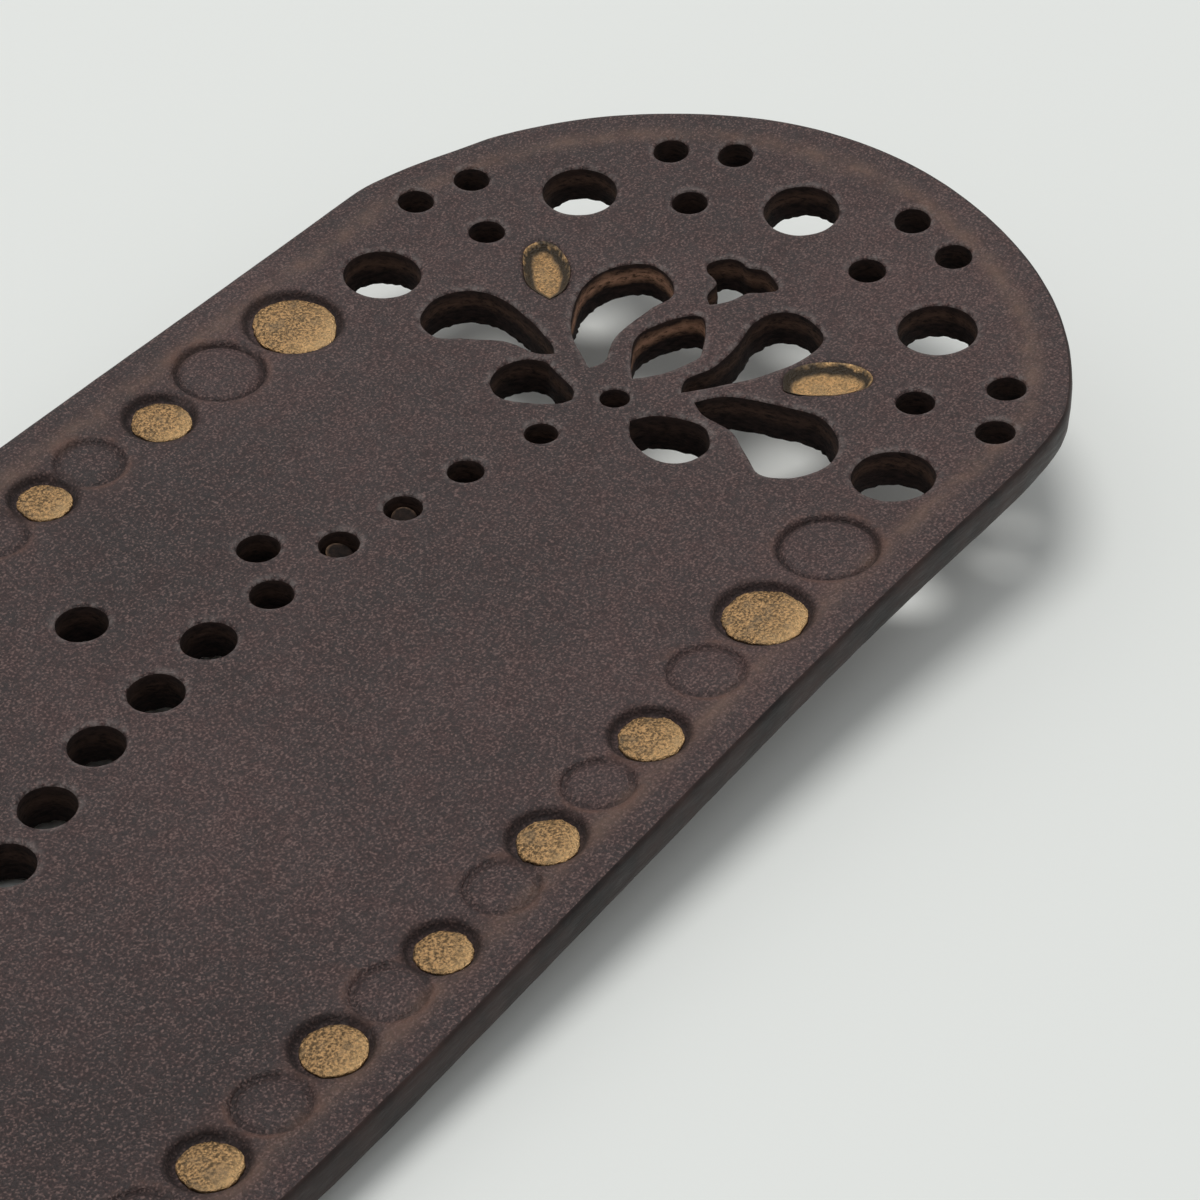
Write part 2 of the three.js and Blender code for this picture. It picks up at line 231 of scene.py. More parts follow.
edge = even_loop(np.vstack((half_edge, -half_edge)), edge_spacing)
for _ in range(3):
    edge = (np.roll(edge, 1, 0) + 2 * edge + np.roll(edge, -1, 0)) / 4

# Each through hole is a stack of rings, from the rounded lip on the face down to the torn underside
cut_spacing = 0.3
lip_rings = [(0.3, 0), (0.19, 0.02), (0.1, 0.07), (0.035, 0.17), (0, 0.34)]
wall_rings = [(0, 0.8), (0, 1.35), (0, 1.9), (0, 2.4)]
torn_ring = (-0.02, 2.8)
under_ring = (0.2, 2.78)
cut_loops = []
for line, core in holes:
    for half in (1, -1):
        loop = even_loop(line * half, cut_spacing)
        loop = loop + outward(loop) * (0.035 * rough(loop, 1.4, 3))[:, None]
        cut_loops.append((loop, core))
# The lip is narrower where two openings almost meet
lip_shares = []
for k, (loop, _) in enumerate(cut_loops):
    others = np.vstack([other for m, (other, _) in enumerate(cut_loops) if m != k])
    near = others[(abs(others - loop.mean(0)) < np.ptp(loop, axis=0) / 2 + 2).all(1)]
    room = np.full(len(loop), 9.0)
    if len(near):
        room = np.sqrt(((loop[:, None] - near[None]) ** 2).sum(-1).min(1))
    lip_shares.append(np.clip(0.4 * room / lip_rings[0][0], 0.2, 1))
all_stamps = [(middle * half, radius, gold) for half in (1, -1) for middle, radius, gold in stamps]
all_leaves = [line * half for half in (1, -1) for line in leaf_lines]


def tree_of(points):
    tree = kdtree.KDTree(len(points))
    for i, (x, y) in enumerate(points):
        tree.insert((x, y, 0), i)
    tree.balance()
    return tree


def gap(tree, points):
    return np.array([tree.find((x, y, 0))[2] for x, y in points])


def inside(points, loop):
    x, y = points.T
    found = np.zeros(len(points), bool)
    near = (x > loop[:, 0].min()) & (x < loop[:, 0].max()) & (y > loop[:, 1].min()) & (y < loop[:, 1].max())
    x, y = x[near], y[near]
    hit = np.zeros(len(x), bool)
    for (ax, ay), (bx, by) in zip(loop, np.roll(loop, -1, 0)):
        if ay != by:
            hit ^= ((ay > y) != (by > y)) & (x < ax + (y - ay) * (bx - ax) / (by - ay))
    found[near] = hit
    return found


cut_tree = tree_of(np.vstack([loop for loop, _ in cut_loops]))
edge_tree = tree_of(even_loop(edge, 0.2))
leaf_tree = tree_of(np.vstack([even_loop(line, 0.05) for line in all_leaves]))

# Depth of each stamp at a distance in from its outline
gold_stamp = ((-0.6, 0), (-0.25, 0.03), (0, 0.12), (0.14, 0.4), (0.35, 0.58), (0.6, 0.55), (1.0, 0.5))
blind_stamp = ((-0.5, 0), (-0.2, 0.02), (0, 0.08), (0.1, 0.32), (0.22, 0.4), (0.42, 0.2),
               (0.7, 0.1), (1.2, 0.06))
leaf_stamp = ((-0.45, 0), (-0.15, 0.05), (0, 0.14), (0.15, 0.36), (0.5, 0.66), (0.8, 0.8), (1, 0.84),
              (1.5, 0.82))


def face_depth(points):
    """How far the face of the leather lies below its full thickness."""
    depth = 0.13 * np.exp(-gap(cut_tree, points) / 0.6)
    shoulder = np.clip(1 - gap(edge_tree, points) / 2.6, 0, 1)
    depth += 0.14 * shoulder**2
    pressed = np.zeros(len(points))
    for middle, radius, gold in all_stamps:
        inset = radius - np.hypot(*(points - middle).T)
        profile = gold_stamp if gold else blind_stamp
        strength = 1 if gold else 0.8 + 0.35 * (radius > 2.5)
        near = inset > -0.6
        reached = strength * np.interp(inset[near], *np.transpose(profile))
        pressed[near] = np.maximum(pressed[near], reached)
    from_leaf = gap(leaf_tree, points)
    for line in all_leaves:
        from_leaf[inside(points, line)] *= -1
    near = from_leaf < 0.45
    pressed[near] = np.maximum(pressed[near], np.interp(-from_leaf[near], *np.transpose(leaf_stamp)))
    return depth + pressed + 0.05 * (1 + rough(points, 9, 11)) * 0.5


# Points of the face, the most needed first: round the holes, the stamps, the leaves and the edge
face_points = []
occupied = {}
cell = 0.17


def offer(points, owner, spread=1):
    """Keeps the points that stand clear of those of other owners."""
    for point in points:
        key = (round(point[0] / cell), round(point[1] / cell))
        around = [
            occupied.get((key[0] + i, key[1] + j), owner)
            for i in range(-spread, spread + 1) for j in range(-spread, spread + 1)
        ]
        if all(other == owner for other in around):
            occupied[key] = owner
            face_points.append(point)


ring_starts = []
for k, (loop, _) in enumerate(cut_loops):
    ring_starts.append(len(face_points))
    start = loop + outward(loop) * (lip_rings[0][0] * lip_shares[k])[:, None]
    for point in start:
        occupied[(round(point[0] / cell), round(point[1] / cell))] = k
        face_points.append(point)
edge_inset = 0.6
edge_start = len(face_points)
edge_owner = -1
edge_line = edge - outward(edge) * edge_inset
for point in edge_line:
    occupied[(round(point[0] / cell), round(point[1] / cell))] = edge_owner
    face_points.append(point)
fixed = len(face_points)

for k, (loop, _) in enumerate(cut_loops):
    for outset in (0.44, 0.75, 1.15):
        offer(loop + outward(loop) * outset, k)
for k, (middle, radius, _) in enumerate(all_stamps):
    for inset in (-0.45, -0.2, 0, 0.09, 0.2, 0.36, 0.55, 0.8, 1.15):
        offer(circle(middle, radius - inset, round(2 * math.pi * radius / 0.28)), 1000 + k)
for k, line in enumerate(all_leaves):
    loop = even_loop(line, 0.3)
    for outset in (0.35, 0.15, 0):
        offer(loop + outward(loop) * outset, 2000 + k)
    low, high = line.min(0), line.max(0)
    grid = np.stack(np.meshgrid(np.arange(low[0], high[0], 0.24), np.arange(low[1], high[1], 0.24)), -1)
    grid = grid.reshape(-1, 2)
    offer(grid[inside(grid, line)], 2000 + k)
for inset in (1.05, 1.5, 2.0, 2.6):
    offer(edge - outward(edge) * inset, edge_owner)
scatter = np.random.RandomState(5)
grid = np.stack(np.meshgrid(np.arange(-100, 100, 0.9), np.arange(-26, 26, 0.9)), -1).reshape(-1, 2)
grid = grid + scatter.uniform(-0.2, 0.2, grid.shape)
offer(grid, 5000, 2)

face_points = np.array(face_points)
keep = inside(face_points, edge_line)
for k, (loop, _) in enumerate(cut_loops):
    keep &= ~inside(face_points, loop + outward(loop) * (lip_rings[0][0] * lip_shares[k])[:, None])
keep[:fixed] = True
face_points = face_points[keep]


def triangulate(points, loops):
    """Triangles over the points, with the loops as edges.  The first loop is the outside."""
    edges = []
    owner = np.full(len(points), -1)
    for k, (start, count) in enumerate(loops):
        edges += [(start + i, start + (i + 1) % count) for i in range(count)]
        owner[start:start + count] = k
    _, _, triangles, origins, _, _ = delaunay_2d_cdt(
        [Vector(p) for p in points], edges, [], 0, 1e-7, True
    )
    triangles = np.array([[origins[i][0] for i in triangle] for triangle in triangles])
    same = owner[triangles]
    same = np.where((same[:, 0] == same[:, 1]) & (same[:, 1] == same[:, 2]), same[:, 0], -1)
    middles = points[triangles].mean(1)
    drop = np.zeros(len(triangles), bool)
    for k, (start, count) in enumerate(loops):
        mine = np.flatnonzero(same == k)
        within = inside(middles[mine], points[start:start + count])
        drop[mine] = within if k else ~within
    return triangles[~drop]


cut_counts = [len(loop) for loop, _ in cut_loops]
face_loops = [(edge_start, len(edge))] + list(zip(ring_starts, cut_counts))
face_triangles = triangulate(face_points, face_loops)
face_d = strap_thickness - face_depth(face_points)

blocks = [np.column_stack((face_points, face_d))]
cores = [np.zeros(len(face_points))]
faces = face_triangles.tolist()
GRAIN, CUT, FLESH, EDGE = range(4)
finishes = [GRAIN] * len(faces)
total = len(face_points)


def skirt(first, loop, normal, heights, rings, core, finish_of, turn=1, shares=1):
    """Rings of faces that go down from points already made.  Gives back the last ring's start."""
    global total
    count = len(loop)
    above = first
    for k, (outset, drop, jag, jag_size) in enumerate(rings):
        shift = outset
        if jag:
            shift = outset + jag * rough(np.column_stack((loop, heights * 0 + drop)), jag_size, 21)
        if outset > 0:
            shift = shift * shares
        flat = loop + normal * np.reshape(shift * np.ones(count), (-1, 1))
        depth = heights - drop if drop < 0.5 else strap_thickness - drop
        blocks.append(np.column_stack((flat, depth * np.ones(count))))
        cores.append(np.full(count, float(core)))
        below = total
        total += count
        for i in range(count):
            j = (i + 1) % count
            faces.append((above + i, below + i, below + j, above + j)[::turn])
            finishes.append(finish_of(k))
        above = below
    return above


under_starts = []
for (loop, core), start, shares in zip(cut_loops, ring_starts, lip_shares):
    rings = [(o, d, 0.012, 0.5) for o, d in lip_rings[1:]]
    rings += [(o, d, 0.06, 0.55) for o, d in wall_rings]
    rings += [(*torn_ring, 0.15, 0.3), (*under_ring, 0, 1)]
    last = skirt(start, loop, outward(loop), face_d[start:start + len(loop)], rings, core,
                 lambda k: GRAIN if k < 3 else (CUT if k < 9 else FLESH), -1, shares)
    under_starts.append((last, len(loop)))
edge_rings = [(-0.4, 0.02, 0, 1), (-0.22, 0.06, 0, 1), (-0.09, 0.16, 0.01, 1), (-0.01, 0.4, 0.02, 1.5),
              (0.02, 0.8, 0.03, 1.2), (0.01, 1.5, 0.05, 1.2), (-0.03, 2.05, 0.05, 1.2),
              (-0.12, 2.45, 0.03, 1.2), (-0.3, 2.7, 0.02, 1.2), (-0.55, 2.8, 0, 1)]
last = skirt(edge_start, edge, outward(edge), face_d[edge_start:edge_start + len(edge)], edge_rings,
             0, lambda k: EDGE if k > 1 else GRAIN)
under_starts.insert(0, (last, len(edge)))

made = np.vstack(blocks)
under_map = np.concatenate([np.arange(start, start + count) for start, count in under_starts])
under_points = made[under_map, :2]
under_loops, at = [], 0
for _, count in under_starts:
    under_loops.append((at, count))
    at += count
grid = np.stack(np.meshgrid(np.arange(-99, 99, 2.3), np.arange(-25, 25, 2.3)), -1).reshape(-1, 2)
grid = grid + scatter.uniform(-0.3, 0.3, grid.shape)
under_edge = under_points[:len(edge)]
clear = inside(grid, under_edge) & (gap(edge_tree, grid) > 1.2) & (gap(cut_tree, grid) > 0.8)
for loop, _ in cut_loops:
    clear &= ~inside(grid, loop)
grid = grid[clear]
under_triangles = triangulate(np.vstack((under_points, grid)), under_loops)
under_map = np.concatenate((under_map, total + np.arange(len(grid))))
blocks.append(np.column_stack((grid, 0.03 + 0.03 * rough(grid, 3, 5))))
cores.append(np.zeros(len(grid)))
faces += under_map[under_triangles[:, ::-1]].tolist()
finishes += [FLESH] * len(under_triangles)

flat = np.vstack(blocks)
flat[:, 2] = np.maximum(flat[:, 2], 0)
core = np.concatenate(cores)


def piece_from(name, flat, faces, finishes=None):
    """A smooth-shaded mesh object from points of the flat leather."""
    mesh = bpy.data.meshes.new(name)
    mesh.from_pydata(lay(flat).tolist(), [], faces)
    if finishes is not None:
        mesh.polygons.foreach_set("material_index", finishes)
    mesh.polygons.foreach_set("use_smooth", [True] * len(mesh.polygons))
    mesh.update()
    piece = bpy.data.objects.new(name, mesh)
    bpy.context.scene.collection.objects.link(piece)
    return piece


def mark(piece, name, values):
    attribute = piece.data.attributes.new(name, "FLOAT", "POINT")
    attribute.data.foreach_set("value", np.asarray(values, np.float32))


strap = piece_from("dark_leather_strap", flat, faces, finishes)
from_cut = gap(cut_tree, flat[:, :2])
from_edge = gap(edge_tree, flat[:, :2])
on_top = flat[:, 2] > 1.5
mark(strap, "lip", np.where(on_top, np.exp(-from_cut / 0.42), 0))
mark(strap, "crease_and_highlight", np.exp(-(((from_edge - 2.5) / 0.6) ** 2)) * on_top)
mark(strap, "down", (strap_thickness - flat[:, 2]) / strap_thickness)
mark(strap, "core", core)
rim, groove = np.zeros(len(flat)), np.zeros(len(flat))
for middle, radius, gold in all_stamps:
    inset = radius - np.hypot(*(flat[:, :2] - middle).T)
    rim = np.maximum(rim, np.exp(-(((inset + 0.2) / 0.22) ** 2)) * (0.3 if gold else 1) * on_top)
    fresh = 1 if gold or radius > 2.5 else 0.4
    groove = np.maximum(groove, np.exp(-(((inset - 0.2) / (0.32 if gold else 0.16)) ** 2)) * fresh * on_top)
mark(strap, "ring", rim)
mark(strap, "groove", groove)
# Where the leather is darker or lighter, partly from uneven dye and partly painted shade and sheen where the
# bend and cup turn the face away from the light and towards it: middle, reach along, reach across, amount
dye_shade_and_sheen_patches = [
    ((36, 22), (40, 6), -0.05), ((66, 21), (16, 5), 0.3), ((80, -4), (16, 14), 0.15),
    ((36, 2), (18, 8), 0.12), ((24, -8), (12, 5), 0.2), ((8, -12), (18, 12), -0.45),
    ((46, -12), (14, 6), 0.15), ((60, -21), (34, 4.5), 0.35), ((91, -12), (8, 12), 0.35),
    ((46, 14), (14, 6), -0.15),
]
dye_shade_and_sheen = np.zeros(len(flat))
for middle, reach, amount in dye_shade_and_sheen_patches:
    for half in (1, -1):
        away = (flat[:, :2] - np.array(middle) * half) / reach
        dye_shade_and_sheen += amount * np.exp(-(away**2).sum(1))
mark(strap, "dye_shade_and_sheen", dye_shade_and_sheen)


def node(tree, kind, inputs=None, **settings):
    """Adds a shader node; an input is a value or the socket that feeds it."""
    made = tree.nodes.new(kind)
    for name, value in settings.items():
        setattr(made, name, value)
    for name, value in (inputs or {}).items():
        if isinstance(value, bpy.types.NodeSocket):
            tree.links.new(value, made.inputs[name])
        else:
            made.inputs[name].default_value = value
    return made


def maths(tree, operation, a, b=0.0, clamp=False):
    return node(tree, "ShaderNodeMath", {0: a, 1: b}, operation=operation, use_clamp=clamp).outputs[0]


def blend(tree, amount, a, b):
    mixer = node(tree, "ShaderNodeMix", {"Factor": amount}, data_type="RGBA")
    for socket, value in ((mixer.inputs[6], a), (mixer.inputs[7], b)):
        if isinstance(value, bpy.types.NodeSocket):
            tree.links.new(value, socket)
        else:
            socket.default_value = (*value, 1)
    return mixer.outputs[2]


def remap(tree, value, low, high, to_low=0.0, to_high=1.0):
    return node(
        tree, "ShaderNodeMapRange",
        {"Value": value, "From Min": low, "From Max": high, "To Min": to_low, "To Max": to_high},
    ).outputs[0]


def new_group(name, inputs, outputs):
    """An empty shader node group with named sockets."""
    group = bpy.data.node_groups.new(name, "ShaderNodeTree")
    for socket, kind in inputs:
        group.interface.new_socket(name=socket, in_out="INPUT", socket_type=kind)
    for socket, kind in outputs:
        group.interface.new_socket(name=socket, in_out="OUTPUT", socket_type=kind)
    return group, group.nodes.new("NodeGroupInput"), group.nodes.new("NodeGroupOutput")


def use_group(tree, group, inputs):
    placed = node(tree, "ShaderNodeGroup", node_tree=group)
    for name, value in inputs.items():
        if isinstance(value, bpy.types.NodeSocket):
            tree.links.new(value, placed.inputs[name])
        else:
            placed.inputs[name].default_value = value
    return placed


NUMBER, VECTOR = "NodeSocketFloat", "NodeSocketVector"

# Pebbled grain of the hide: rounded pebbles a fifth of a millimetre across, broken up by finer grain
pebbles, came, went = new_group(
    "pebbled_grain", [("Place", VECTOR), ("Pebbles per metre", NUMBER)],
    [("Height", NUMBER), ("Glint tops", NUMBER)],
)
wander = node(pebbles, "ShaderNodeTexNoise", {"Vector": came.outputs[0], "Scale": 1500.0, "Detail": 2.0})
bent = node(pebbles, "ShaderNodeVectorMath", {0: wander.outputs["Color"]}, operation="SCALE")
bent.inputs["Scale"].default_value = 0.00028
moved = node(pebbles, "ShaderNodeVectorMath", {0: came.outputs[0], 1: bent.outputs[0]}, operation="ADD")
cells = node(
    pebbles, "ShaderNodeTexVoronoi", {"Vector": moved.outputs[0], "Scale": came.outputs[1]},
    feature="SMOOTH_F1",
)
cells.inputs["Smoothness"].default_value = 0.35
fine = node(pebbles, "ShaderNodeTexNoise",
            {"Vector": came.outputs[0], "Scale": 7200.0, "Detail": 3.0, "Roughness": 0.6})
dome = remap(pebbles, cells.outputs["Distance"], 0.0, 0.75, 0.3, 0.0)
height = maths(pebbles, "ADD", dome, fine.outputs["Fac"])
pebbles.links.new(height, went.inputs[0])
# The second output marks the pebble tops, where the leather gets painted glints
pebbles.links.new(remap(pebbles, height, 0.63, 0.83), went.inputs[1])

# Uneven wear: patches that fade in and out over a given size
patches, came, went = new_group(
    "uneven_wear", [("Place", VECTOR), ("Patches per metre", NUMBER), ("Least", NUMBER), ("Most", NUMBER)],
    [("Mask", NUMBER)],
)
cloud = node(patches, "ShaderNodeTexNoise",
             {"Vector": came.outputs[0], "Scale": came.outputs[1], "Detail": 4.0, "Roughness": 0.62})
shown = node(patches, "ShaderNodeMapRange",
             {"Value": cloud.outputs["Fac"], "From Min": came.outputs[2], "From Max": came.outputs[3]})
patches.links.new(shown.outputs[0], went.inputs[0])


def material_with(name):
    material = bpy.data.materials.new(name)
    material.use_nodes = True
    tree = material.node_tree
    place = node(tree, "ShaderNodeTexCoord").outputs["Object"]
    return material, tree, tree.nodes["Principled BSDF"], place


def read(tree, name):
    return node(tree, "ShaderNodeAttribute", attribute_name=name).outputs["Fac"]


# The dyed and oiled grain face
grain, tree, surface, place = material_with("dark_grain_leather")
pebble = use_group(tree, pebbles, {"Place": place, "Pebbles per metre": 4800.0})
broad = use_group(tree, patches, {"Place": place, "Patches per metre": 110.0, "Least": 0.35, "Most": 0.65})
small = use_group(tree, patches, {"Place": place, "Patches per metre": 650.0, "Least": 0.4, "Most": 0.62})
# Random tone plus the patches of dye, painted shade and painted sheen
tone = maths(tree, "ADD", maths(tree, "MULTIPLY", broad.outputs[0], 0.5), read(tree, "dye_shade_and_sheen"))
tone = maths(tree, "ADD", tone, maths(tree, "MULTIPLY", small.outputs[0], 0.35), True)
colour = blend(tree, tone, (0.023, 0.0113, 0.0108), (0.072, 0.0358, 0.0332))
# Painted shade: the hollows between the pebbles darkened
colour = blend(tree, remap(tree, pebble.outputs[0], 0.64, 0.46, 0, 0.7), colour, (0.012, 0.006, 0.0058))
# Painted glints: the pebble tops lightened to a pale pink-brown
colour = blend(tree, maths(tree, "MULTIPLY", pebble.outputs[1], 0.8), colour, (0.19, 0.118, 0.104))
wear = use_group(tree, patches, {"Place": place, "Patches per metre": 420.0, "Least": 0.42, "Most": 0.6})
# A pale tan band 2.5 mm in from the edge: the crease line, partly a painted highlight where the face starts
# to round over
crease_and_highlight = maths(tree, "MULTIPLY", read(tree, "crease_and_highlight"), remap(tree, wear.outputs[0], 0, 1, 0.2, 0.6))
colour = blend(tree, crease_and_highlight, colour, (0.16, 0.09, 0.062))
ring = maths(tree, "MULTIPLY", read(tree, "ring"), maths(tree, "MULTIPLY", wear.outputs[0], 0.7))
colour = blend(tree, ring, colour, (0.115, 0.052, 0.036))
colour = blend(tree, maths(tree, "MULTIPLY", read(tree, "groove"), 0.75), colour, (0.009, 0.0045, 0.0042))
# Pale frayed fibres round the lips of the holes, partly a painted highlight where the rounded rims catch the
# light
scuff_and_highlight = use_group(tree, patches, {"Place": place, "Patches per metre": 1700.0, "Least": 0.42, "Most": 0.62})
lip = remap(tree, read(tree, "lip"), 0.28, 0.88)
lip = maths(tree, "MULTIPLY", lip, maths(tree, "MULTIPLY", scuff_and_highlight.outputs[0], 0.75))
colour = blend(tree, lip, colour, (0.2, 0.165, 0.155))
tree.links.new(colour, surface.inputs["Base Color"])
polish = remap(tree, small.outputs[0], 0, 1, 0.44, 0.6)
polish = maths(tree, "ADD", polish, maths(tree, "MULTIPLY", read(tree, "groove"), 0.35))
tree.links.new(polish, surface.inputs["Roughness"])
surface.inputs["Specular IOR Level"].default_value = 0.42
bump = node(tree, "ShaderNodeBump", {"Height": pebble.outputs[0], "Strength": 1.0, "Distance": 0.0001})
tree.links.new(bump.outputs[0], surface.inputs["Normal"])

# The walls of the holes: cut fibres, dyed nearly black, with the undyed core as a tan line, and painted
# light that makes the top of each wall browner than its deep, shaded part
cut, tree, surface, place = material_with("cut_leather_fibre")
squeezed = node(tree, "ShaderNodeVectorMath", {0: place, 1: (1.0, 1.0, 3.0)}, operation="MULTIPLY")
threads = node(tree, "ShaderNodeTexNoise",
               {"Vector": squeezed.outputs[0], "Scale": 1500.0, "Detail": 6.0, "Roughness": 0.7})
stain = use_group(tree, patches, {"Place": place, "Patches per metre": 500.0, "Least": 0.38, "Most": 0.66})
down = maths(tree, "ADD", read(tree, "down"), maths(tree, "MULTIPLY", stain.outputs[0], -0.1))
band = maths(tree, "MULTIPLY", maths(tree, "SUBTRACT", down, 0.36), 4.2)
band = maths(tree, "SUBTRACT", 1.0, maths(tree, "ABSOLUTE", band), True)
body = remap(tree, threads.outputs["Fac"], 0.38, 0.68)
body = blend(tree, body, (0.006, 0.0036, 0.0034), (0.036, 0.02, 0.017))
# Painted light: the top of each wall lighter brown, the deep part left near black as painted shade
painted_light_near_wall_top = maths(tree, "MULTIPLY", remap(tree, down, 0.75, 0.1), stain.outputs[0])
body = blend(tree, maths(tree, "MULTIPLY", painted_light_near_wall_top, 0.5), body, (0.04, 0.021, 0.015))
core_shown = maths(tree, "MULTIPLY", band, read(tree, "core"))
core_shown = maths(tree, "MULTIPLY", core_shown, remap(tree, threads.outputs["Fac"], 0.34, 0.54), True)
colour = blend(tree, core_shown, body, (0.5, 0.27, 0.17))
tree.links.new(colour, surface.inputs["Base Color"])
surface.inputs["Roughness"].default_value = 0.85
surface.inputs["Specular IOR Level"].default_value = 0.2
bump = node(tree, "ShaderNodeBump", {"Height": threads.outputs["Fac"], "Strength": 0.9, "Distance": 0.0002})
tree.links.new(bump.outputs[0], surface.inputs["Normal"])

# The flesh side underneath: short rough nap, dyed unevenly
flesh, tree, surface, place = material_with("dyed_flesh_side")
nap = node(tree, "ShaderNodeTexNoise", {"Vector": place, "Scale": 1400.0, "Detail": 6.0, "Roughness": 0.7})
stain = use_group(tree, patches, {"Place": place, "Patches per metre": 160.0, "Least": 0.35, "Most": 0.65})
colour = blend(tree, stain.outputs[0], (0.03, 0.019, 0.014), (0.085, 0.052, 0.036))
colour = blend(tree, remap(tree, nap.outputs["Fac"], 0.4, 0.75), colour, (0.16, 0.1, 0.07))
tree.links.new(colour, surface.inputs["Base Color"])
surface.inputs["Roughness"].default_value = 0.92
bump = node(tree, "ShaderNodeBump", {"Height": nap.outputs["Fac"], "Strength": 0.8, "Distance": 0.0003})
tree.links.new(bump.outputs[0], surface.inputs["Normal"])

# The outer edge, rubbed smooth and waxed
burnished, tree, surface, place = material_with("burnished_edge")
streak_place = node(tree, "ShaderNodeVectorMath", {0: place, 1: (1.0, 1.0, 4.0)}, operation="MULTIPLY")
streaks = node(tree, "ShaderNodeTexNoise",
               {"Vector": streak_place.outputs[0], "Scale": 600.0, "Detail": 5.0, "Roughness": 0.6})
stain = use_group(tree, patches, {"Place": place, "Patches per metre": 260.0, "Least": 0.36, "Most": 0.64})
colour = blend(tree, stain.outputs[0], (0.008, 0.0044, 0.004), (0.03, 0.0155, 0.013))
colour = blend(tree, remap(tree, streaks.outputs["Fac"], 0.5, 0.8, 0.0, 0.5), colour, (0.06, 0.036, 0.031))
tree.links.new(colour, surface.inputs["Base Color"])
surface.inputs["Specular IOR Level"].default_value = 0.25
tree.links.new(remap(tree, streaks.outputs["Fac"], 0.3, 0.7, 0.42, 0.6), surface.inputs["Roughness"])
bump = node(tree, "ShaderNodeBump", {"Height": streaks.outputs["Fac"], "Strength": 0.5, "Distance": 0.00015})
tree.links.new(bump.outputs[0], surface.inputs["Normal"])

for finish in (grain, cut, flesh, burnished):
    strap.data.materials.append(finish)
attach(strap, "root")
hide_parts("leather_strap")

# Gold spots.  Every other stamped circle is brushed by hand with bronze-gold paint, which sits on
# the crown of the stamp inside its groove, thin and ragged at the rim.
gold_ring_shares = [0, 0.14, 0.28, 0.42, 0.56, 0.7, 0.82, 0.92, 1.0]
gold_spokes = 64
spot_margin = 0.5  # between the paint and the outline of its stamp
spot_crown = 0.28  # depths below the face
spot_foot = 0.56
spot_underside = 0.54


def gold_paint(name):
    """Bronze-gold paint, sparkling where it lies thick and showing the leather where it is thin; its colour
    also carries painted sparkle and a painted highlight.
    """
    gold, tree, surface, place = material_with(name)
    flakes = node(tree, "ShaderNodeTexVoronoi", {"Vector": place, "Scale": 7000.0})
    brush_marks_and_sparkle = node(tree, "ShaderNodeTexNoise",
                   {"Vector": place, "Scale": 5600.0, "Detail": 4.0, "Roughness": 0.7})
    thin = use_group(tree, patches, {"Place": place, "Patches per metre": 900.0, "Least": 0.5, "Most": 0.68})
    # Brush marks and painted sparkle: fine noise runs the gold from dark bronze to bright gold
    colour = remap(tree, brush_marks_and_sparkle.outputs["Fac"], 0.42, 0.58)
    colour = blend(tree, colour, (0.16, 0.105, 0.055), (0.74, 0.45, 0.21))
    colour = blend(tree, maths(tree, "MULTIPLY", thin.outputs[0], 0.55), colour, (0.17, 0.125, 0.075))
    # Painted highlight: a paler gold blended in by the highlight mark
    colour = blend(tree, maths(tree, "MULTIPLY", read(tree, "painted_highlight"), 0.75), colour, (0.95, 0.62, 0.3))
    bare = read(tree, "bare")
    colour = blend(tree, bare, colour, (0.035, 0.022, 0.009))
    tree.links.new(colour, surface.inputs["Base Color"])
    metal = maths(tree, "SUBTRACT", remap(tree, thin.outputs[0], 0, 1, 0.85, 0.5), bare, True)
    tree.links.new(metal, surface.inputs["Metallic"])
    tree.links.new(remap(tree, flakes.outputs["Color"], 0, 1, 0.3, 0.6), surface.inputs["Roughness"])
    height = maths(tree, "MULTIPLY", flakes.outputs["Distance"], 0.5)
    height = maths(tree, "ADD", brush_marks_and_sparkle.outputs["Fac"], height)
    bump = node(tree, "ShaderNodeBump", {"Height": height, "Strength": 1.0, "Distance": 0.00016})
    tree.links.new(bump.outputs[0], surface.inputs["Normal"])
    return gold


